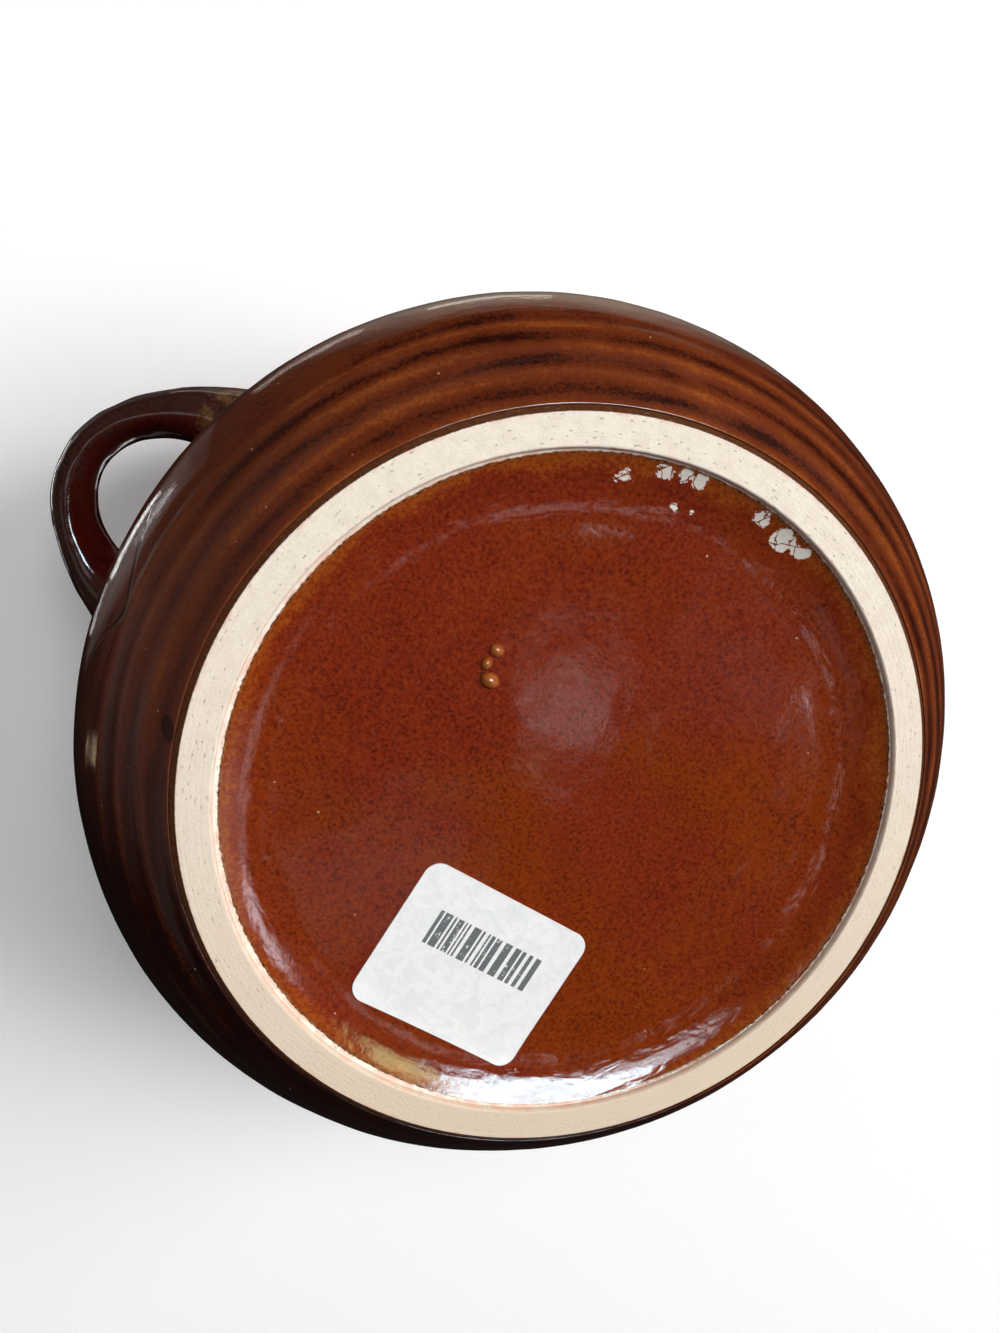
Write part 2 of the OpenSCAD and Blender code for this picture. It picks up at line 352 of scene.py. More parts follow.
wall_heights = spaced(BARE_H, RIBS_TOP, 60) + spaced(RIBS_TOP, NECK_Z, 40)[1:]
wall_heights += spaced(NECK_Z, RIM_Z, 8)[1:]
rim_turn = [math.radians(a) for a in spaced(0, 90, 8)]
wall_line = [(glazed_r(z), z) for z in wall_heights] + rim_roll(0.0, rim_turn[1:])
back_line = rim_roll(GLAZE_T, rim_turn[::-1])
back_line += [(glazed_r(z) - coat(z), z) for z in wall_heights[-2::-2]]
outer_coat = pull_up("outer_coat", wall_line + back_line)
# The first and the last ring of the coat are joined.
bpy.ops.mesh.select_mode(type="EDGE")
select_open_edges()
bpy.ops.mesh.bridge_edge_loops()
finish_mesh()

# How thick the glaze lies: least on a rib and at the lip, most in a groove.
ON_RIB, MORE_IN_GROOVE, MORE_ON_BAND = 0.26, 0.52, 0.32
depths = []
for z in wall_heights:
    high, ribbed = crest(z)
    depths.append(ON_RIB + MORE_IN_GROOVE * (ribbed - high) + MORE_ON_BAND * (1 - ribbed))
depths += [0.5 - 0.5 * ease(min(1.0, a / 1.1)) for a in rim_turn[1:]]
depths += [0.5] * len(back_line)
pooling = outer_coat.data.attributes.new("pooling", "FLOAT", "POINT")
pooling.data.foreach_set("value", [d for d in depths for _ in range(SIDES)])
uneven(outer_coat, 24, 0.3)
uneven(outer_coat, 7, 0.1)

# Fired glaze: colour by its depth, dense fine speckle, soft orange-peel waves and a few pin holes.
fired_glaze, gets, puts = new_group(
    "Fired glaze",
    {"Place": (0.0, 0.0, 0.0), "Depth": 0.5, "Thin": rgb(150, 78, 22), "Middle": rgb(112, 46, 22),
     "Deep": rgb(58, 24, 18), "Mottling": 1.0, "Grain": 1.0},
    ["Colour", "Roughness", "Height"])
t = fired_glaze
drift = calc(t, "SUBTRACT", grain(t, gets["Place"], 0.11, 4.0, 0.6, 0.4), 0.5)
fine = grain(t, gets["Place"], 2.1, 4.0, 0.75)
speckle = fade(t, grain(t, gets["Place"], 1.9, 4.0, 0.75), 0.32, 0.68, -0.4, 0.6)
lies = calc(t, "MULTIPLY_ADD", calc(t, "MULTIPLY", drift, gets["Mottling"]), 0.9, gets["Depth"])
lies = calc(t, "MULTIPLY_ADD", calc(t, "MULTIPLY", speckle, gets["Grain"]), 0.4, lies)
shade = tint(t, fade(t, lies, 0.0, 0.5), gets["Thin"], gets["Middle"])
shade = tint(t, fade(t, lies, 0.5, 1.0), shade, gets["Deep"])
hole_cells = node(t, "TexVoronoi", {"Vector": gets["Place"], "Scale": 0.3})
hole_pick = node(t, "SeparateColor", {0: hole_cells.outputs["Color"]}).outputs
holes = calc(t, "MULTIPLY", fade(t, hole_cells.outputs["Distance"], 0.03, 0.06, 1.0, 0.0),
             fade(t, hole_pick[2], 0.6, 0.65))
shade = tint(t, calc(t, "MULTIPLY", holes, 0.75), shade, rgb(208, 158, 130))
peel = grain(t, gets["Place"], 0.5, 2.0, 0.5)
height = calc(t, "MULTIPLY_ADD", fine, 0.2, calc(t, "MULTIPLY", peel, 0.55))
height = calc(t, "SUBTRACT", height, calc(t, "MULTIPLY", holes, 0.3))
give(t, puts, Colour=shade, Roughness=fade(t, fine, 0.25, 0.8, 0.03, 0.1), Height=height)

# Short pale scratches and nicks, each in its own direction. Amount is the share of places that
# have one.
scuffs, gets, puts = new_group(
    "Scuffs", {"Place": (0.0, 0.0, 0.0), "Scale": 0.08, "Amount": 0.4}, ["Mask"])
t = scuffs
cells = node(t, "TexVoronoi", {"Vector": gets["Place"], "Scale": gets["Scale"]})
pick = node(t, "SeparateColor", {0: cells.outputs["Color"]}).outputs
scaled = node(t, "VectorMath", {0: gets["Place"], "Scale": gets["Scale"]}, operation="SCALE").outputs[0]
spot = vector(t, "SUBTRACT", scaled, cells.outputs["Position"])[0]
turn = {"Vector": spot, "Angle": calc(t, "MULTIPLY", pick[0], 6.28)}
turned = node(t, "VectorRotate", turn, rotation_type="Z_AXIS").outputs[0]
along = node(t, "SeparateXYZ", {0: turned}).outputs
bend = calc(t, "ADD", along[1], calc(t, "MULTIPLY", calc(t, "MULTIPLY", along[0], along[0]), 1.6))
thin = fade(t, calc(t, "ABSOLUTE", bend), 0.004, 0.011, 1.0, 0.0)
full_to = calc(t, "MULTIPLY", pick[1], 0.11)
gone_by = calc(t, "MULTIPLY", pick[1], 0.13)
long = fade(t, calc(t, "ABSOLUTE", along[0]), full_to, gone_by, 1.0, 0.0)
broken = fade(t, grain(t, gets["Place"], 2.2, 3.0, 0.7), 0.42, 0.52)
none_below = calc(t, "SUBTRACT", 1.0, gets["Amount"])
all_above = calc(t, "SUBTRACT", 1.01, gets["Amount"])
there = fade(t, pick[2], none_below, all_above)
give(t, puts, Mask=calc(t, "MULTIPLY", calc(t, "MULTIPLY", thin, long), calc(t, "MULTIPLY", broken, there)))


HANDLE_SIDE = (0.82, -0.54, 0.0)


def wall_finish(tree, place):
    pool = node(tree, "Attribute", {}, attribute_name="pooling").outputs["Fac"]
    # The glaze ran off the turning pot in long streaks, so the bands break and drift.
    drawn = node(tree, "Mapping", {"Vector": place, "Scale": (0.06, 0.06, 0.5)}).outputs[0]
    streaks = calc(tree, "SUBTRACT", grain(tree, drawn, 1.0, 4.0, 0.62, 0.3), 0.5)
    side = node(tree, "SeparateXYZ", {0: place}).outputs
    depth = calc(tree, "MULTIPLY_ADD", streaks, fade(tree, side[2], 14.0, 32.0, 0.95, 0.4), pool)
    # The glaze is painted deeper and darker towards -y, the side away from the lamps: a painted shade.
    depth = calc(tree, "ADD", depth, fade(tree, side[1], -8.0, -44.0, 0.0, 0.6))
    glaze = use(
        tree, fired_glaze, Place=place, Depth=depth, Thin=rgb(148, 76, 29), Middle=rgb(104, 44, 19),
        Deep=rgb(42, 11, 5), Mottling=0.6, Grain=0.6)
    # Beside the handle's lower root the wall is painted paler and greyer: a painted sheen.
    toward = reach_to(tree, place, HANDLE_SIDE)
    painted_sheen = fade(tree, toward, 22.0, 46.0, 0.0, 0.5)
    painted_sheen = calc(tree, "MULTIPLY", painted_sheen, fade(tree, side[1], -42.0, -24.0))
    colour = tint(tree, painted_sheen, glaze["Colour"], rgb(88, 50, 39))
    nick = use(tree, scuffs, Place=place, Scale=0.07, Amount=0.3)[0]
    colour = tint(tree, calc(tree, "MULTIPLY", nick, 0.7), colour, rgb(220, 190, 170))
    # On the darker side the glaze also slid a little and set in long thin creases; they dip in the bump and
    # are painted dark, a painted shade in them.
    slid = node(tree, "Mapping", {"Vector": place, "Scale": (0.035, 0.035, 0.07)}).outputs[0]
    crease_and_its_shade = calc(tree, "ABSOLUTE", calc(tree, "SUBTRACT", grain(tree, slid, 1.0, 1.0, 0.4), 0.5))
    crease_and_its_shade = fade(tree, crease_and_its_shade, 0.002, 0.007, 1.0, 0.0)
    crease_and_its_shade = calc(tree, "MULTIPLY", crease_and_its_shade, fade(tree, side[1], 15.0, -5.0))
    colour = tint(tree, calc(tree, "MULTIPLY", crease_and_its_shade, 0.7), colour, rgb(22, 8, 6))
    rough = calc(tree, "MULTIPLY_ADD", nick, 0.4, glaze["Roughness"])
    height = calc(tree, "MULTIPLY_ADD", streaks, 1.2, glaze["Height"])
    height = calc(tree, "MULTIPLY_ADD", crease_and_its_shade, -0.6, height)
    return {"Base Color": colour, "Roughness": rough, "IOR": GLASS_IOR}, height, 0.16


def settle(piece, material, slot, *nodes):
    """Dresses a finished piece and puts it in the CAD nodes' place."""
    piece.data.materials.clear()
    piece.data.materials.append(material)
    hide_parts(*nodes)
    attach(piece, "root")


settle(outer_coat, finish("Brown glaze", wall_finish), "brown_glaze", "outer_glaze")


# The inside glaze

# The same glaze, poured in and swirled out, on the inside of the wall and the floor. It meets the
# outside coat on top of the rim, where both break thin, and it gathers in the corner of the floor.

WALL_T, FLOOR_Z, FLOOR_R, INSIDE_ROUND = 5.0, 9.0, 38.0, 16.0
INSIDE_Z = FLOOR_Z + INSIDE_ROUND


def inside_r(z):
    if z < NECK_Z:
        return plain_r(z) - WALL_T
    return NECK_R - WALL_T + (RIM_R - RIM_T - NECK_R + WALL_T) * ease((z - NECK_Z) / (RIM_Z - NECK_Z))


def inside_line(t, steps, hub):
    """The inside from the top of the rim to the middle of the floor, with a coat of thickness t
    taken off."""
    line = rim_roll(t, [math.radians(d) for d in spaced(90, 180, 8)])
    line += [(inside_r(z) + t, z) for z in spaced(RIM_Z, NECK_Z, 8)[1:]]
    line += [(inside_r(z) + t, z) for z in spaced(NECK_Z, INSIDE_Z, 2 * steps)[1:]]
    reach = inside_r(INSIDE_Z) + t - FLOOR_R
    line += [(FLOOR_R + reach * math.cos(a), INSIDE_Z - (INSIDE_ROUND + t) * math.sin(a))
             for a in [math.radians(d) for d in spaced(0, 90, 2 * steps)[1:]]]
    return line + [(r, FLOOR_Z - t) for r in spaced(FLOOR_R, hub, steps)[1:]]


def close_middle():
    """Draws the last ring in to a point, which ends it without a hole."""
    bpy.ops.mesh.extrude_region_move()
    bpy.ops.mesh.merge(type="CENTER")


def pull_disc(name, shown, hidden):
    """A thin coat that covers the middle: pulled from its hidden middle out to its edge, and back in
    over its shown side."""
    made = pull_up(name, hidden[::-1] + shown)
    close_middle()
    select_open_edges()
    close_middle()
    finish_mesh()
    return made


liner_coat = pull_disc("liner_coat", inside_line(0.0, 18, 0.4), inside_line(GLAZE_T, 6, 0.4))
uneven(liner_coat, 22, 0.25)


def liner_finish(tree, place):
    out = from_axis(tree, place)
    up = node(tree, "SeparateXYZ", {0: place}).outputs[2]
    stacked = node(tree, "CombineXYZ", {2: calc(tree, "MULTIPLY", up, 0.55)}).outputs[0]
    rings = grain(tree, stacked, 1.0, 2.0, 0.5)
    wall = calc(tree, "ADD", 0.3, calc(tree, "MULTIPLY", calc(tree, "SUBTRACT", rings, 0.5), 1.6))
    lip = fade(tree, up, BODY_H - 3.0, BODY_H - 0.4, 0.0, -0.5)
    pool = calc(tree, "MULTIPLY", fade(tree, out, 47.0, 36.0), fade(tree, out, 20.0, 40.0, 0.25, 0.45))
    depth = calc(tree, "ADD", calc(tree, "ADD", wall, lip), pool)
    glaze = use(
        tree, fired_glaze, Place=place, Depth=depth, Thin=rgb(166, 92, 30), Middle=rgb(118, 50, 22),
        Deep=rgb(66, 26, 16), Mottling=0.9, Grain=0.8)
    scrape = use(tree, scuffs, Place=place, Scale=0.05, Amount=0.35)[0]
    rough = calc(tree, "MULTIPLY_ADD", scrape, 0.35, glaze["Roughness"])
    return {"Base Color": glaze["Colour"], "Roughness": rough, "IOR": GLASS_IOR}, glaze["Height"], 0.22


settle(liner_coat, finish("Inside glaze", liner_finish), "inside_glaze", "liner_glaze")


# The base glaze

# Glaze sponged into the recess inside the ring, red-brown and amber where it runs thin. It missed
# a few spots by the ring, which show chalky clay, and the soft base under it has gentle dents.

RECESS, DISH, BASE_ROUND, FOOT_ROUND = 3.0, 0.7, 8.0, 0.8


def base_z(r, t):
    return RECESS + t + DISH * (1 - (r / RING_R) ** 2)


def cove_z(r, t, u):
    """Height in the cove, where u goes from 0 at its top to 1 at the ring."""
    return FOOT_ROUND + (base_z(r, t) - FOOT_ROUND) * (1 - u * u)


def base_line(t, steps, hub):
    """The base from the glaze line on the ring, up its cove, to the middle, with a coat of thickness
    t taken off."""
    line = []
    for u in spaced(1, 0, steps):
        r = RING_R - BASE_ROUND + (BASE_ROUND + t) * u
        line.append((r, cove_z(r, t, u)))
    return line + [(r, base_z(r, t)) for r in spaced(RING_R - BASE_ROUND, hub, 4 * steps)[1:]]


base_coat = pull_disc("base_coat", base_line(0.0, 20, 0.4), base_line(GLAZE_T, 8, 0.4))
COVE_START, CALM_EDGE = "cove start", "calm edge"
BEND_REACH, CALM_REACH = 6.0, 5.0
# The cove runs into the flat middle without a line.
bend = base_coat.vertex_groups.new(name=COVE_START)
for corner in base_coat.data.vertices:
    r = math.hypot(corner.co.x, corner.co.y) / MM
    bend.add([corner.index], max(0.0, 1 - abs(r - RING_R + BASE_ROUND) / BEND_REACH), "REPLACE")
soften = base_coat.modifiers.new("Soften", "SMOOTH")
soften.iterations = 60
soften.use_x = soften.use_y = False
soften.vertex_group = COVE_START
bpy.context.view_layer.objects.active = base_coat
bpy.ops.object.modifier_apply(modifier="Soften")
# The dents fade out at the ring, where the coat ends on the clay.
calm = base_coat.vertex_groups.new(name=CALM_EDGE)
for corner in base_coat.data.vertices:
    r = math.hypot(corner.co.x, corner.co.y) / MM
    calm.add([corner.index], min(1.0, max(0.15, (RING_R - r) / CALM_REACH)), "REPLACE")
uneven(base_coat, 18, 0.24, CALM_EDGE)
uneven(base_coat, 8, 0.06, CALM_EDGE)
uneven(base_coat, 12, 0.22, COVE_START)

# A spot that the glaze missed: round about Centre, Size in mm, with a crawled edge.
missed_spot, gets, puts = new_group(
    "Missed spot",
    {"Place": (0.0, 0.0, 0.0), "Centre": (0.0, 0.0, 0.0), "Size": 1.0, "Edge": 1.0},
    ["Mask"])
t = missed_spot
gap = calc(t, "SUBTRACT", vector(t, "DISTANCE", gets["Place"], gets["Centre"])["Value"], gets["Size"])
spot = use(t, ragged_line, Place=gets["Place"], Distance=gap, Spread=gets["Edge"], Scale=0.9, Softness=0.05)
give(t, puts, Mask=spot[0])

# Where the spots are: x, y and size in mm, and how crawled the edge is.
MISSED = [(-4.2, 42.0, 1.6, 0.8), (-6.2, 42.0, 0.75, 0.8), (-7.5, 42.1, 0.95, 0.7), (-0.2, 42.7, 1.0, 1.2),
          (9.4, 41.9, 1.05, 1.2), (11.2, 41.6, 0.9, 1.3), (13.6, 40.4, 0.95, 1.6), (17.5, 37.4, 0.85, 1.6),
          (9.8, 37.8, 0.45, 1.8), (7.6, 38.3, 0.2, 1.6)]


def base_finish(tree, place):
    out = from_axis(tree, place)
    by_ring = grain(tree, place, 0.13, 3.0, 0.6)
    reach = calc(tree, "MULTIPLY_ADD", by_ring, 5.0, out)
    thin = fade(tree, calc(tree, "MULTIPLY_ADD", grain(tree, place, 0.8, 3.0, 0.7), 2.5, reach), 44.8, 47.0)
    depth = calc(tree, "MULTIPLY_ADD", thin, -0.36, 0.5)
    moved = node(tree, "Mapping", {"Vector": place, "Location": (31.0, 7.0, 0.0)}).outputs[0]
    warm = grain(tree, moved, 0.045, 3.0, 0.55, 0.6)
    side = node(tree, "SeparateXYZ", {0: place}).outputs
    warm = calc(tree, "ADD", warm, fade(tree, side[0], 30.0, -30.0, -0.08, 0.1))
    middle = tint(tree, fade(tree, warm, 0.42, 0.68), rgb(120, 38, 16), rgb(124, 46, 9))
    glaze = use(
        tree, fired_glaze, Place=place, Depth=depth, Thin=rgb(146, 70, 20), Middle=middle,
        Deep=rgb(58, 14, 7), Mottling=0.3, Grain=1.3)
    nick = use(tree, scuffs, Place=place, Scale=0.14, Amount=0.7)[0]
    colour = tint(tree, calc(tree, "MULTIPLY", nick, 0.6), glaze["Colour"], rgb(214, 150, 120))
    bare = None
    for x, y, size, crawl in MISSED:
        r = math.hypot(x, y)
        u = max(0.0, (r - RING_R + BASE_ROUND) / BASE_ROUND)
        centre = (x, y, cove_z(r, 0.0, u))
        here = use(tree, missed_spot, Place=place, Centre=centre, Size=size, Edge=crawl)[0]
        bare = here if bare is None else calc(tree, "MAXIMUM", bare, here)
    # Threads of glaze cross the bare spots where the coat tore.
    torn = {"Vector": pushed_about(tree, place, 0.9), "Scale": 0.34}
    threads = node(tree, "TexVoronoi", torn, feature="DISTANCE_TO_EDGE").outputs["Distance"]
    bare = calc(tree, "MULTIPLY", bare, fade(tree, threads, 0.01, 0.035))
    clay = use(tree, bare_clay, Place=place, Clay=rgb(226, 220, 212))
    colour = tint(tree, bare, colour, clay["Colour"])
    # The glaze stops short of the ring, most on the handle's side. Along its edge lie a dark fringe
    # on the glaze and a pink flush on the clay.
    toward = reach_to(tree, place, HANDLE_SIDE)
    stop = calc(tree, "ADD", out, fade(tree, toward, -30.0, 38.0, 0.12, 0.5))
    short = calc(tree, "SUBTRACT", RING_R, stop)
    stopped = use(tree, ragged_line, Place=place, Distance=short, Spread=0.32, Scale=1.3)[0]
    in_fringe = calc(tree, "SUBTRACT", short, 0.3)
    fringe = use(tree, ragged_line, Place=place, Distance=in_fringe, Spread=0.5, Scale=1.3)[0]
    brown = tint(tree, fade(tree, grain(tree, place, 1.9), 0.35, 0.65), rgb(70, 30, 14), rgb(150, 96, 52))
    colour = tint(tree, calc(tree, "MULTIPLY", fringe, 0.9), colour, brown)
    ring_clay = use(tree, bare_clay, Place=place)
    flush = fade(tree, short, -0.6, -0.1, 0.1, 0.6)
    flush = calc(tree, "MULTIPLY", flush, fade(tree, grain(tree, place, 0.45), 0.4, 0.6))
    pink = tint(tree, flush, ring_clay["Colour"], rgb(233, 165, 140))
    colour = tint(tree, stopped, colour, pink)
    bare = calc(tree, "MAXIMUM", bare, stopped)
    rough = node(tree, "Mix", {0: bare, 2: glaze["Roughness"], 3: clay["Roughness"]}).outputs[0]
    height = calc(tree, "MULTIPLY_ADD", bare, -0.6, glaze["Height"])
    height = calc(tree, "MULTIPLY_ADD", grain(tree, place, 3.4, 3.0, 0.65), 0.12, height)
    # The coat in the cove set in short ripples along the ring.
    level = vector(tree, "MULTIPLY", place, (1.0, 1.0, 0.0))[0]
    way = node(tree, "VectorMath", {0: level}, operation="NORMALIZE").outputs[0]
    round_ring = node(tree, "VectorMath", {0: way, "Scale": 8.0}, operation="SCALE").outputs[0]
    inward = node(tree, "CombineXYZ", {2: calc(tree, "MULTIPLY", out, 0.55)}).outputs[0]
    drawn = vector(tree, "ADD", round_ring, inward)[0]
    ripples = calc(tree, "MULTIPLY", grain(tree, drawn, 1.0, 2.0, 0.5, 0.4), fade(tree, out, 34.5, 38.5))
    ripples = calc(tree, "MULTIPLY", ripples, fade(tree, toward, 25.0, 5.0, 0.4, 1.0))
    height = calc(tree, "MULTIPLY_ADD", ripples, 2.4, height)
    return {"Base Color": colour, "Roughness": rough, "IOR": GLASS_IOR}, height, 0.14


settle(base_coat, finish("Base glaze", base_finish), "base_glaze", "base_glaze")


# The ear handle's glaze

# A pulled clay strap, bent into a loop and luted to the wall at its two roots, carries the same
# dark glaze. The coat follows it from root to root and ends in the wall's own coat.

EAR_Z, EAR_REACH, EAR_SPREAD, EAR_POINT = 47.0, 18.2, 15.9, 1.1
STRAP_T, STRAP_H, ROOT_T, ROOT_H = 5.9, 13.0, 15.0, 17.0
ROOT_SINK, FLARE_POWER = 1.4, 3.3
OUTER_POWER, INNER_POWER = 2.6, 1.7
EAR_WALL_R = plain_r(EAR_Z) - ROOT_SINK
ROOT_IN, ROOT_END = 6.0, 2.2
STRAP_SIDES = 72


def loop_place(a):
    """Middle of the strap at a degrees round the loop, and the direction out of the finger gap."""
    c, s = max(0.0, math.cos(math.radians(a))), math.sin(math.radians(a))
    place = Vector((EAR_WALL_R + EAR_REACH * c ** EAR_POINT, EAR_SPREAD * s, EAR_Z))
    if abs(a) > 89.9:
        return place, Vector((0, math.copysign(1, a), 0))
    return place, Vector((EAR_SPREAD * c, EAR_REACH * EAR_POINT * c ** (EAR_POINT - 1) * s, 0)).normalized()


def strap_half(a):
    flare = (min(abs(a), 90) / 90) ** FLARE_POWER
    return (STRAP_T + (ROOT_T - STRAP_T) * flare) / 2, (STRAP_H + (ROOT_H - STRAP_H) * flare) / 2


def turn_section(a, back=False):
    """Turns the selected section with the loop's bend at a degrees round it, about its own middle."""
    place, out = loop_place(a)
    angle = math.atan2(out.y, out.x)
    # Without a window the operator turns clockwise for a positive value.
    value = angle if back else -angle
    bpy.ops.transform.rotate(value=value, orient_axis="Z", center_override=place * MM)


def size_section(a, old, new):
    change = (new[0] / old[0], 1, new[1] / old[1])
    bpy.ops.transform.resize(value=change, center_override=loop_place(a)[0] * MM)


bpy.ops.object.select_all(action="DESELECT")
bpy.ops.mesh.primitive_circle_add(vertices=STRAP_SIDES, radius=MM, rotation=(math.pi / 2, 0, 0))
handle_coat = bpy.context.object
handle_coat.name = handle_coat.data.name = "handle_coat"
bpy.ops.object.transform_apply(location=False)
# The circle becomes the strap's section, 1 mm in each half size, across X and up Z: full and
# round outside, slanting off towards the finger gap from a ridge along each edge.
for corner in handle_coat.data.vertices:
    turn = math.atan2(corner.co.z, corner.co.x)
    c, s = math.cos(turn), math.sin(turn)
    share = 2 / (OUTER_POWER if c > 0 else INNER_POWER)
    corner.co = Vector((math.copysign(abs(c) ** share, c), 0, math.copysign(abs(s) ** share, s))) * MM
stops = spaced(-90, 90, 96)
bpy.ops.object.mode_set(mode="EDIT")
bpy.ops.mesh.select_all(action="SELECT")
bpy.ops.transform.resize(value=(strap_half(-90)[0], 1, strap_half(-90)[1]), center_override=(0, 0, 0))
bpy.ops.transform.translate(value=loop_place(-90)[0] * MM)
turn_section(-90)
bpy.ops.transform.translate(value=(-ROOT_IN * MM, 0, 0))
bpy.ops.mesh.extrude_region_move(TRANSFORM_OT_translate={"value": (ROOT_IN * MM, 0, 0)})
for before, after in zip(stops, stops[1:]):
    bpy.ops.mesh.extrude_region_move()
    turn_section(before, back=True)
    size_section(before, strap_half(before), strap_half(after))
    bpy.ops.transform.translate(value=(loop_place(after)[0] - loop_place(before)[0]) * MM)
    turn_section(after)
bpy.ops.mesh.extrude_region_move(TRANSFORM_OT_translate={"value": (-ROOT_IN * MM, 0, 0)})
bpy.ops.object.mode_set(mode="OBJECT")
# The two root ends are cut to the curve of the wall, inside its clay.
rings = len(handle_coat.data.vertices) // STRAP_SIDES
for corner in handle_coat.data.vertices:
    if corner.index // STRAP_SIDES in (0, rings - 1):
        inside = (plain_r(corner.co.z / MM) - ROOT_END) * MM
        corner.co.x = math.sqrt(inside * inside - corner.co.y * corner.co.y)
bpy.ops.object.mode_set(mode="EDIT")
for _ in range(2):
    select_open_edges()
    bpy.ops.mesh.edge_face_add()
finish_mesh()
uneven(handle_coat, 9, 0.6)
uneven(handle_coat, 4, 0.16)


def handle_finish(tree, place):
    split = node(tree, "SeparateXYZ", {0: place}).outputs
    # Below 1 on the side of the finger gap, above 1 on the outside of the loop.
    along = calc(tree, "DIVIDE", calc(tree, "SUBTRACT", split[0], EAR_WALL_R), EAR_REACH)
    across = calc(tree, "DIVIDE", split[1], EAR_SPREAD)
    loop = calc(tree, "MULTIPLY_ADD", along, along, calc(tree, "MULTIPLY", across, across))
    loop = calc(tree, "MULTIPLY_ADD", calc(tree, "SUBTRACT", grain(tree, place, 0.35), 0.5), 0.6, loop)
    # The side towards the finger gap is painted deep red: a painted reflection of the red-brown wall, with
    # painted shade.
    gap_side_reflection = fade(tree, loop, 1.1, 0.78)
    root = fade(tree, split[0], 67.5, 62.0)
    crust = calc(tree, "MULTIPLY", root, fade(tree, split[1], 6.0, 14.0, 0.25, 1.0))
    crust = calc(tree, "MULTIPLY", crust, fade(tree, grain(tree, place, 0.6), 0.3, 0.62, 0.2, 1.0))
    depth = calc(tree, "MULTIPLY_ADD", crust, -0.6, 0.6)
    middle = tint(tree, gap_side_reflection, rgb(62, 33, 26), rgb(78, 16, 9))
    deep = tint(tree, gap_side_reflection, rgb(30, 13, 11), rgb(36, 6, 4))
    glaze = use(
        tree, fired_glaze, Place=place, Depth=depth, Thin=rgb(120, 84, 46), Middle=middle, Deep=deep,
        Mottling=0.9, Grain=0.7)
    nick = use(tree, scuffs, Place=place, Scale=0.1, Amount=0.25)[0]
    colour = tint(tree, calc(tree, "MULTIPLY", nick, 0.6), glaze["Colour"], rgb(220, 200, 190))
    rough = calc(tree, "ADD", glaze["Roughness"], 0.03)
    return {"Base Color": colour, "Roughness": rough, "IOR": GLASS_IOR}, glaze["Height"], 0.16


settle(handle_coat, finish("Handle glaze", handle_finish), "dark_glaze", "handle_glaze")


# Three drops on the base

# Glaze that ran together and froze as three small glassy beads beside the middle of the base.
# Each is fused to the base glaze and stands up from a soft skirt of it.

DROP_RISE = 0.36
SKIRT = ((1.07, 0.03), (1.09, 0.015), (1.1, 0.005), (1.0, 0.18))

bpy.ops.object.select_all(action="DESELECT")
drops = []
for x, y, size, lean in ((17.30, 7.73, 2.4, 0.12), (18.82, 9.35, 1.73, -0.1), (18.65, 11.37, 1.92, 0.06)):
    rise = size * DROP_RISE
    ball = ((size / 2) ** 2 + rise ** 2) / (2 * rise)
    level = base_z(math.hypot(x, y), 0.0)
    foot = (x * MM, y * MM, level * MM)
    middle = (x * MM, y * MM, (level + ball - rise) * MM)
    bpy.ops.mesh.primitive_uv_sphere_add(segments=40, ring_count=32, radius=ball * MM, location=middle)
    bpy.ops.object.transform_apply(location=True)
    drop = bpy.context.object
    bpy.ops.object.mode_set(mode="EDIT")
    bpy.ops.mesh.select_all(action="SELECT")
    bpy.ops.mesh.bisect(plane_co=foot, plane_no=(0, 0, 1), use_fill=False, clear_outer=True)
    select_open_edges()
    for grow, sink in SKIRT:
        bpy.ops.mesh.extrude_region_move(TRANSFORM_OT_translate={"value": (0, 0, sink * MM)})
        bpy.ops.transform.resize(value=(grow, grow, 1), center_override=foot)
    bpy.ops.mesh.edge_face_add()
    bpy.ops.mesh.select_all(action="SELECT")
    bpy.ops.transform.resize(value=(1 + lean, 1 - lean, 1), center_override=foot)
    finish_mesh()
    drops.append(drop)
bpy.ops.object.select_all(action="DESELECT")
for drop in drops:
    drop.select_set(True)
bpy.context.view_layer.objects.active = drops[0]
bpy.ops.object.join()
glaze_drops = bpy.context.object
glaze_drops.name = glaze_drops.data.name = "glaze_drops"
uneven(glaze_drops, 1.2, 0.12)


def drop_finish(tree, place):
    # The beads are painted pale amber towards their tips, a painted highlight, and deep towards their feet.
    down = node(tree, "SeparateXYZ", {0: place}).outputs[2]
    depth = fade(tree, down, 2.9, 3.7, 0.1, 0.75)
    glaze = use(
        tree, fired_glaze, Place=place, Depth=depth, Thin=rgb(164, 92, 42), Middle=rgb(128, 54, 22),
        Deep=rgb(66, 22, 10), Mottling=0.4, Grain=0.5)
    return {"Base Color": glaze["Colour"], "Roughness": 0.06, "IOR": GLASS_IOR}, glaze["Height"], 0.1


settle(glaze_drops, finish("Honey glaze", drop_finish), "honey_glaze", "glaze_beads")


# The paper label

# A white paper sticker with round corners, pressed on to the glaze, so it follows the base and
# shows its small creases. It carries only a row of plain bars, which say nothing.

LABEL_L, LABEL_W, LABEL_CORNER, LABEL_T = 25.4, 21.4, 2.2, 0.15
LABEL_X, LABEL_Y = -2.0, -26.3

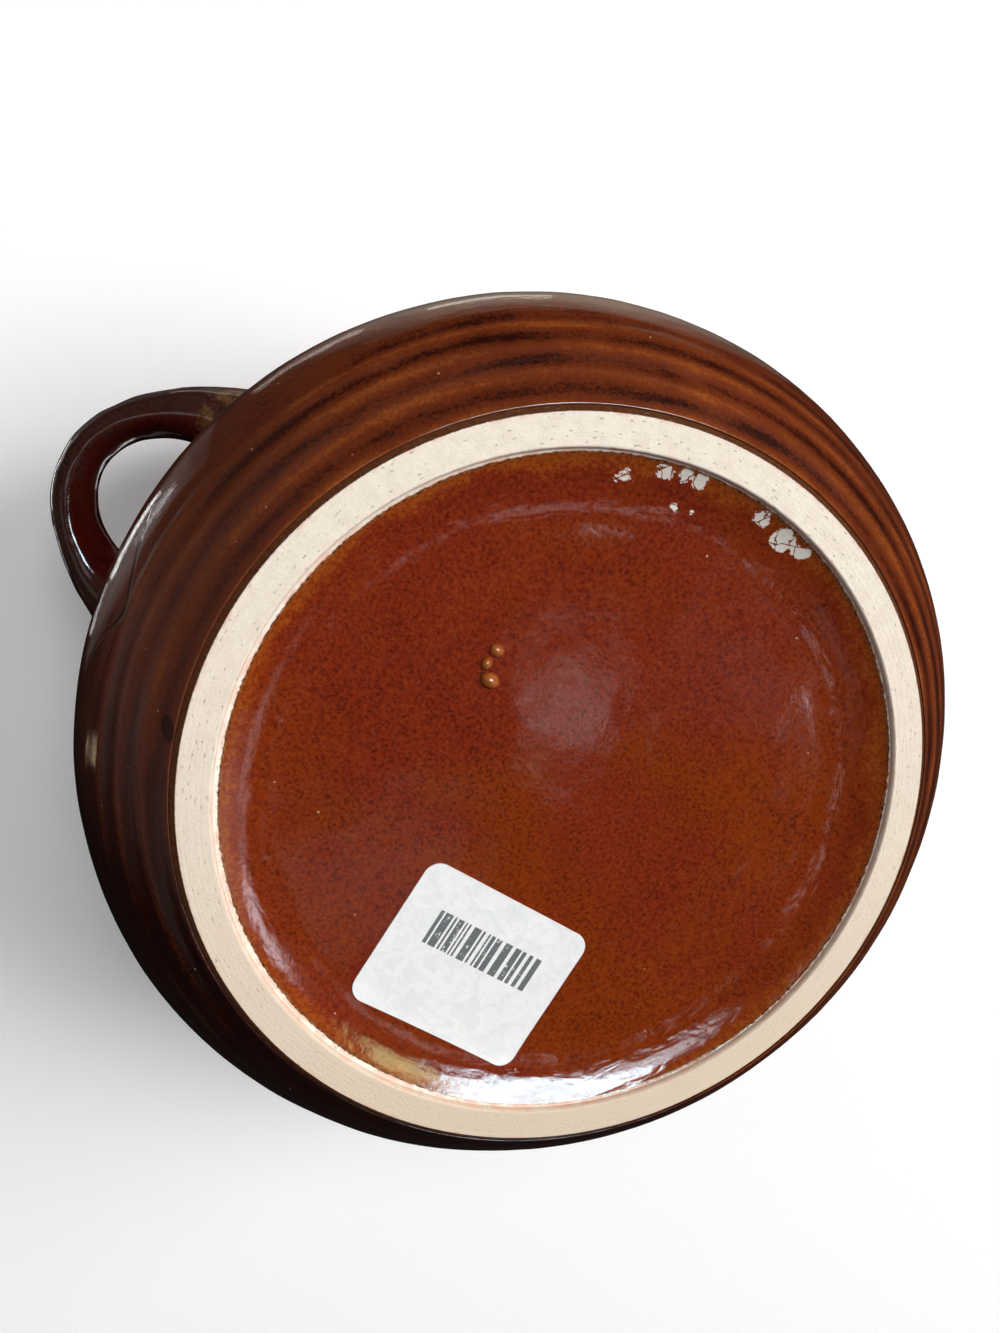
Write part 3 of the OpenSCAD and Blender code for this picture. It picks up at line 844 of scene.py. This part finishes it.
bpy.ops.object.select_all(action="DESELECT")
bpy.ops.mesh.primitive_plane_add(size=1, location=(LABEL_X * MM, LABEL_Y * MM, 0))
label = bpy.context.object
label.name = label.data.name = "label"
label.scale = (LABEL_L * MM, LABEL_W * MM, 1)
bpy.ops.object.transform_apply(location=True, scale=True)
bpy.ops.object.mode_set(mode="EDIT")
bpy.ops.mesh.select_all(action="SELECT")
bpy.ops.mesh.bevel(affect="VERTICES", offset=LABEL_CORNER * MM, segments=8, profile=0.5)
for x in spaced(LABEL_X - LABEL_L / 2, LABEL_X + LABEL_L / 2, 40)[1:-1]:
    bpy.ops.mesh.select_all(action="SELECT")
    bpy.ops.mesh.bisect(plane_co=(x * MM, 0, 0), plane_no=(1, 0, 0))
for y in spaced(LABEL_Y - LABEL_W / 2, LABEL_Y + LABEL_W / 2, 34)[1:-1]:
    bpy.ops.mesh.select_all(action="SELECT")
    bpy.ops.mesh.bisect(plane_co=(0, y * MM, 0), plane_no=(0, 1, 0))
bpy.ops.object.mode_set(mode="OBJECT")
press = label.modifiers.new("Press", "SHRINKWRAP")
press.wrap_method = "PROJECT"
press.use_project_z = True
press.target = base_coat
bpy.ops.object.modifier_apply(modifier="Press")
thick = label.modifiers.new("Paper", "SOLIDIFY")
thick.thickness = LABEL_T * MM
thick.offset = -1
bpy.ops.object.modifier_apply(modifier="Paper")
bpy.ops.object.mode_set(mode="EDIT")
bpy.ops.mesh.select_all(action="SELECT")
bpy.ops.mesh.normals_make_consistent(inside=False)
bpy.ops.object.mode_set(mode="OBJECT")
bpy.ops.object.shade_smooth_by_angle(angle=math.radians(40))


def label_finish(tree, place):
    local = node(tree, "Mapping", {"Vector": place, "Location": (-LABEL_X, -LABEL_Y, 0)}).outputs[0]
    split = node(tree, "SeparateXYZ", {0: local}).outputs
    # The bars are cells of random width along the label, a part of them inked.
    feeds = {"W": calc(tree, "ADD", split[0], 61.0), "Scale": 3.6, "Randomness": 0.85}
    cells = node(tree, "TexVoronoi", feeds, voronoi_dimensions="1D")
    inked = fade(tree, node(tree, "SeparateColor", {0: cells.outputs["Color"]}).outputs[0], 0.45, 0.455)
    across = fade(tree, calc(tree, "ABSOLUTE", calc(tree, "ADD", split[0], 0.2)), 8.3, 8.32, 1.0, 0.0)
    band = fade(tree, calc(tree, "ABSOLUTE", calc(tree, "SUBTRACT", split[1], 2.6)), 2.5, 2.52, 1.0, 0.0)
    worn = fade(tree, grain(tree, place, 1.6, 4.0, 0.7), 0.3, 0.42)
    ink = calc(tree, "MULTIPLY", calc(tree, "MULTIPLY", inked, across), calc(tree, "MULTIPLY", band, worn))
    fibre = grain(tree, place, 3.0, 4.0, 0.7)
    cockle = grain(tree, place, 0.5, 3.0, 0.6, 0.8)
    # Small creases in the paper dip in the bump and are painted grey, a painted shade in them.
    crease_and_its_shade = use(tree, scuffs, Place=local, Scale=0.1, Amount=0.8)[0]
    paper = tint(tree, fade(tree, cockle, 0.35, 0.65), rgb(243, 242, 240), rgb(233, 234, 234))
    paper = tint(tree, fade(tree, fibre, 0.55, 0.8, 0.0, 0.3), paper, rgb(206, 211, 215))
    paper = tint(tree, calc(tree, "MULTIPLY", crease_and_its_shade, 0.5), paper, rgb(160, 168, 174))
    colour = tint(tree, calc(tree, "MULTIPLY", ink, 0.9), paper, rgb(58, 60, 62))
    height = calc(tree, "ADD", calc(tree, "MULTIPLY", cockle, 0.8), calc(tree, "MULTIPLY", fibre, 0.2))
    height = calc(tree, "SUBTRACT", height, calc(tree, "MULTIPLY", crease_and_its_shade, 0.4))
    return {"Base Color": colour, "Roughness": fade(tree, fibre, 0.2, 0.8, 0.45, 0.65)}, height, 0.3


settle(label, finish("Label paper", label_finish), "label_paper", "paper_label")


# The studio

# The camera looks up at the base, so the crock seems to lie upside down on a pale floor: that
# floor shows only from below, at rim level. Another one, under the foot, shows only from above.

camera = bpy.data.objects.new("camera", bpy.data.cameras.new("camera"))
bpy.context.scene.collection.objects.link(camera)
right = Vector((-0.81841, 0.54170, -0.19175))
down = Vector((-0.49731, -0.83487, -0.23594))
forward = Vector((-0.28789, -0.09774, 0.95266))
turned = Matrix((right, -down, -forward)).transposed().to_4x4()
camera.matrix_world = Matrix.Translation((0.05276, 0.02192, -0.11420)) @ turned
camera.data.lens = 27.0
camera.data.sensor_width = 36.0
camera.data.clip_start = 0.01
bpy.context.scene.camera = camera
bpy.context.scene.view_settings.view_transform = "Standard"


def wide_sheet(name, height, faces_up, hole, shade, lift=0.0, reach=6000):
    """A wide sheet with a hole under the crock. Only the side it faces can be seen, it takes shadows
    but casts none, and lift makes it paler for the camera."""
    bpy.ops.object.select_all(action="DESELECT")
    turn = (0 if faces_up else math.pi, 0, 0)
    bpy.ops.mesh.primitive_circle_add(vertices=96, radius=hole * MM, location=(0, 0, height), rotation=turn)
    sheet = bpy.context.object
    sheet.name = sheet.data.name = name
    bpy.ops.object.transform_apply(location=True, rotation=True)
    bpy.ops.object.mode_set(mode="EDIT")
    bpy.ops.mesh.select_all(action="SELECT")
    bpy.ops.mesh.extrude_region_move()
    bpy.ops.transform.resize(value=(reach / hole, reach / hole, 1), center_override=(0, 0, height))
    bpy.ops.object.mode_set(mode="OBJECT")
    if (sheet.data.polygons[0].normal.z > 0) != faces_up:
        sheet.data.flip_normals()
    material = bpy.data.materials.new(name)
    material.use_nodes = True
    tree = material.node_tree
    tree.nodes.clear()
    cloudy = grain(tree, node(tree, "TexCoord", {}).outputs["Object"], 2.0, 2.0, 0.5)
    colour = tint(tree, cloudy, (shade, shade, shade, 1), (shade * 0.97, shade * 0.97, shade * 0.97, 1))
    matt = node(tree, "BsdfDiffuse", {"Color": colour}).outputs[0]
    paths = node(tree, "LightPath", {}).outputs
    seen = calc(tree, "MAXIMUM", paths["Is Glossy Ray"], paths["Is Transmission Ray"])
    seen = calc(tree, "MAXIMUM", paths["Is Camera Ray"], seen)
    glow = node(tree, "Emission", {"Strength": calc(tree, "MULTIPLY", seen, lift)}).outputs[0]
    front = node(tree, "AddShader", {0: matt, 1: glow}).outputs[0]
    clear = node(tree, "BsdfTransparent", {}).outputs[0]
    back = node(tree, "NewGeometry", {}).outputs["Backfacing"]
    mixed = node(tree, "MixShader", {0: back, 1: front, 2: clear}).outputs[0]
    node(tree, "OutputMaterial", {0: mixed})
    sheet.data.materials.append(material)
    sheet.visible_shadow = sheet.visible_diffuse = False
    return sheet


FLOOR_SHADE, FLOOR_LIFT, TABLE_SHADE = 0.98, 0.09, 0.012
RIM_LEVEL = BODY_H * MM
under_rim = wide_sheet(
    "floor_under_rim", RIM_LEVEL + 0.0004, False, RIM_R - RIM_T, FLOOR_SHADE, FLOOR_LIFT)
under_rim.visible_glossy = False
# The glaze mirrors a darker table than the pale floor behind it.
mirrored = wide_sheet(
    "table_in_the_glaze", RIM_LEVEL + 0.0002, False, RIM_R + 0.4, TABLE_SHADE, reach=600)
mirrored.visible_camera = False
under_foot = wide_sheet("floor_under_foot", -0.0002, True, FOOT_R + 0.3, FLOOR_SHADE, FLOOR_LIFT)
under_foot.visible_glossy = False


def hang_lamp(name, place, aim, width, depth, energy, tone):
    data = bpy.data.lights.new(name, "AREA")
    data.shape = "RECTANGLE"
    data.size, data.size_y = width, depth
    data.energy = energy
    data.color = tone
    lamp = bpy.data.objects.new(name, data)
    bpy.context.scene.collection.objects.link(lamp)
    lamp.location, lamp.rotation_euler = place, aim
    lamp.visible_camera = False
    return lamp


def soft_lamp(name, towards, distance, size, level, tone=(1, 1, 1)):
    """A square lamp in a direction from the crock, aimed at its middle. A sheet that faces it gets
    this level."""
    direction = Vector(towards).normalized()
    place = direction * distance + Vector((0, 0, BODY_H * MM / 2))
    aim = (-direction).to_track_quat("-Z", "Y").to_euler()
    return hang_lamp(name, place, aim, size, size, level * (math.pi * distance) ** 2, tone)


def glow_card(name, place, width, depth, shine, tone=(1, 1, 1), turn=0.0, faces_up=True):
    """A level card of light that shows only in the glaze. shine is its brightness, where white
    paper is 1."""
    aim = (math.pi if faces_up else 0.0, 0.0, math.radians(turn))
    card = hang_lamp(name, place, aim, width, depth, shine * math.pi * width * depth, tone)
    card.visible_diffuse = False


# Lamps below, on the camera's side. The key casts the soft shadow to one side. The glaze mirrors
# none of them: it mirrors the cards further down.
for name, towards, distance, size, level in (
        ("key_below", (-0.5, 0.6, -0.62), 1.6, 1.1, 1.08),
        ("daylight_below", (0.2, 0.45, -0.87), 1.2, 0.6, 0.39),
        ("fill_below", (0.8, 0.1, -0.6), 1.2, 0.4, 0.04),
        ("fill_below", (0.6, -0.5, -0.6), 1.2, 0.4, 0.03)):
    soft_lamp(name, towards, distance, size, level).visible_glossy = False

# What the base mirrors: a bright window with four panes, its sill, its frame and paler patches of
# the room. What the handle mirrors comes last.
ROOM_Z = -0.84
PANE_W, PANE_D, PANE_SHINE = 0.135, 0.15, 28
SKY = (0.68, 0.9, 1.0)
for column in (-1, 1):
    for row in (-1, 1):
        pane = (-0.115 + 0.073 * column, 0.27 + 0.083 * row, ROOM_Z)
        glow_card("window", pane, PANE_W, PANE_D, PANE_SHINE, SKY)
for name, x, y, width, depth, shine, tone, turn in (
        ("window_sill", -0.05, 0.055, 0.15, 0.04, 12, (0.8, 0.93, 1.0), 0),
        ("window_frame", -0.345, 0.235, 0.14, 0.15, 7, (0.85, 0.95, 0.45), 0),
        ("window_far", -0.62, 0.08, 0.12, 0.11, 9, (0.95, 0.93, 1.0), 0),
        ("gleam_middle", -0.335, -0.085, 0.07, 0.025, 4, (1, 1, 1), 51),
        ("gleam_left", -0.27, -0.31, 0.1, 0.16, 0.35, (1.0, 0.9, 0.85), 30),
        ("gleam_right", -0.45, 0.02, 0.09, 0.07, 0.3, (1, 1, 1), 0),
        ("wall_of_the_room", -0.68, -0.1, 0.1, 0.16, 1.8, (1.0, 0.93, 0.95), 0),
        ("wall_of_the_room", -0.95, 0.05, 0.4, 0.3, 0.8, (1.0, 0.93, 0.9), 0),
        ("gleam_by_the_handle", 0.26, -0.12, 0.1, 0.2, 1.1, (1, 1, 1), 30),
        ("gleam_by_the_handle", 0.6, -0.65, 0.5, 0.5, 0.3, (1, 1, 1), 0)):
    glow_card(name, (x, y, ROOM_Z), width, depth, shine, tone, turn)

# Light between the table and the wall: a grey sheen on the limbs, soft at its edges, with thin
# bright lines in front of it.
EDGE_Z = RIM_LEVEL - 0.004
LINE_Z = EDGE_Z - 0.0025
for step, grow in enumerate((1.5, 1.15, 0.85, 0.6)):
    for x, y, width, depth, shine, tone, turn in (
            (0.125, -0.014, 0.05, 0.045, 0.1, (1.0, 0.92, 0.87), 0),
            (0.3, -0.17, 0.2, 0.2, 0.04, (1.0, 0.9, 0.85), 0),
            (0.046, 0.094, 0.08, 0.045, 0.13, (1.0, 0.96, 0.8), -30)):
        middle = (x, y, EDGE_Z - 0.0004 * step)
        glow_card("sheen", middle, width * grow, depth * grow, shine, tone, turn, faces_up=False)
for x, y, width, depth, shine, tone, turn in (
        (0.096, -0.012, 0.003, 0.024, 7, (1, 1, 1), -8),
        (0.118, -0.006, 0.003, 0.02, 5, (1, 1, 1), -4),
        (0.085, -0.029, 0.002, 0.012, 3, (1, 1, 1), -20),
        (0.106, -0.088, 0.003, 0.009, 4, (1.0, 0.75, 0.4), -40),
        (0.115, -0.092, 0.002, 0.009, 5, (1.0, 0.85, 0.6), -40),
        (0.083, 0.045, 0.003, 0.03, 2, (1.0, 0.9, 0.8), 28),
        (0.053, 0.079, 0.03, 0.004, 2, (1.0, 0.97, 0.85), -38)):
    glow_card("edge_light", (x, y, LINE_Z), width, depth, shine, tone, turn, faces_up=False)

# Lamps above, on the side of the mouth.
soft_lamp("window_above", (0.45, 0.4, 0.8), 1.0, 0.45, 0.6, (1.0, 0.98, 0.96))
soft_lamp("fill_above", (-0.5, -0.3, 0.8), 1.2, 0.7, 0.35, (0.97, 0.98, 1.0))

# The room is dim, pale above and dark below.
world = bpy.data.worlds.new("studio")
bpy.context.scene.world = world
world.use_nodes = True
tree = world.node_tree
tree.nodes.clear()
look = node(tree, "TexCoord", {}).outputs["Generated"]
upward = node(tree, "SeparateXYZ", {0: look}).outputs[2]
level = fade(tree, upward, -0.1, 0.5, 0.04, 0.3)
lit = node(tree, "Background", {"Color": (1, 1, 1, 1), "Strength": level}).outputs[0]
node(tree, "OutputWorld", {0: lit})
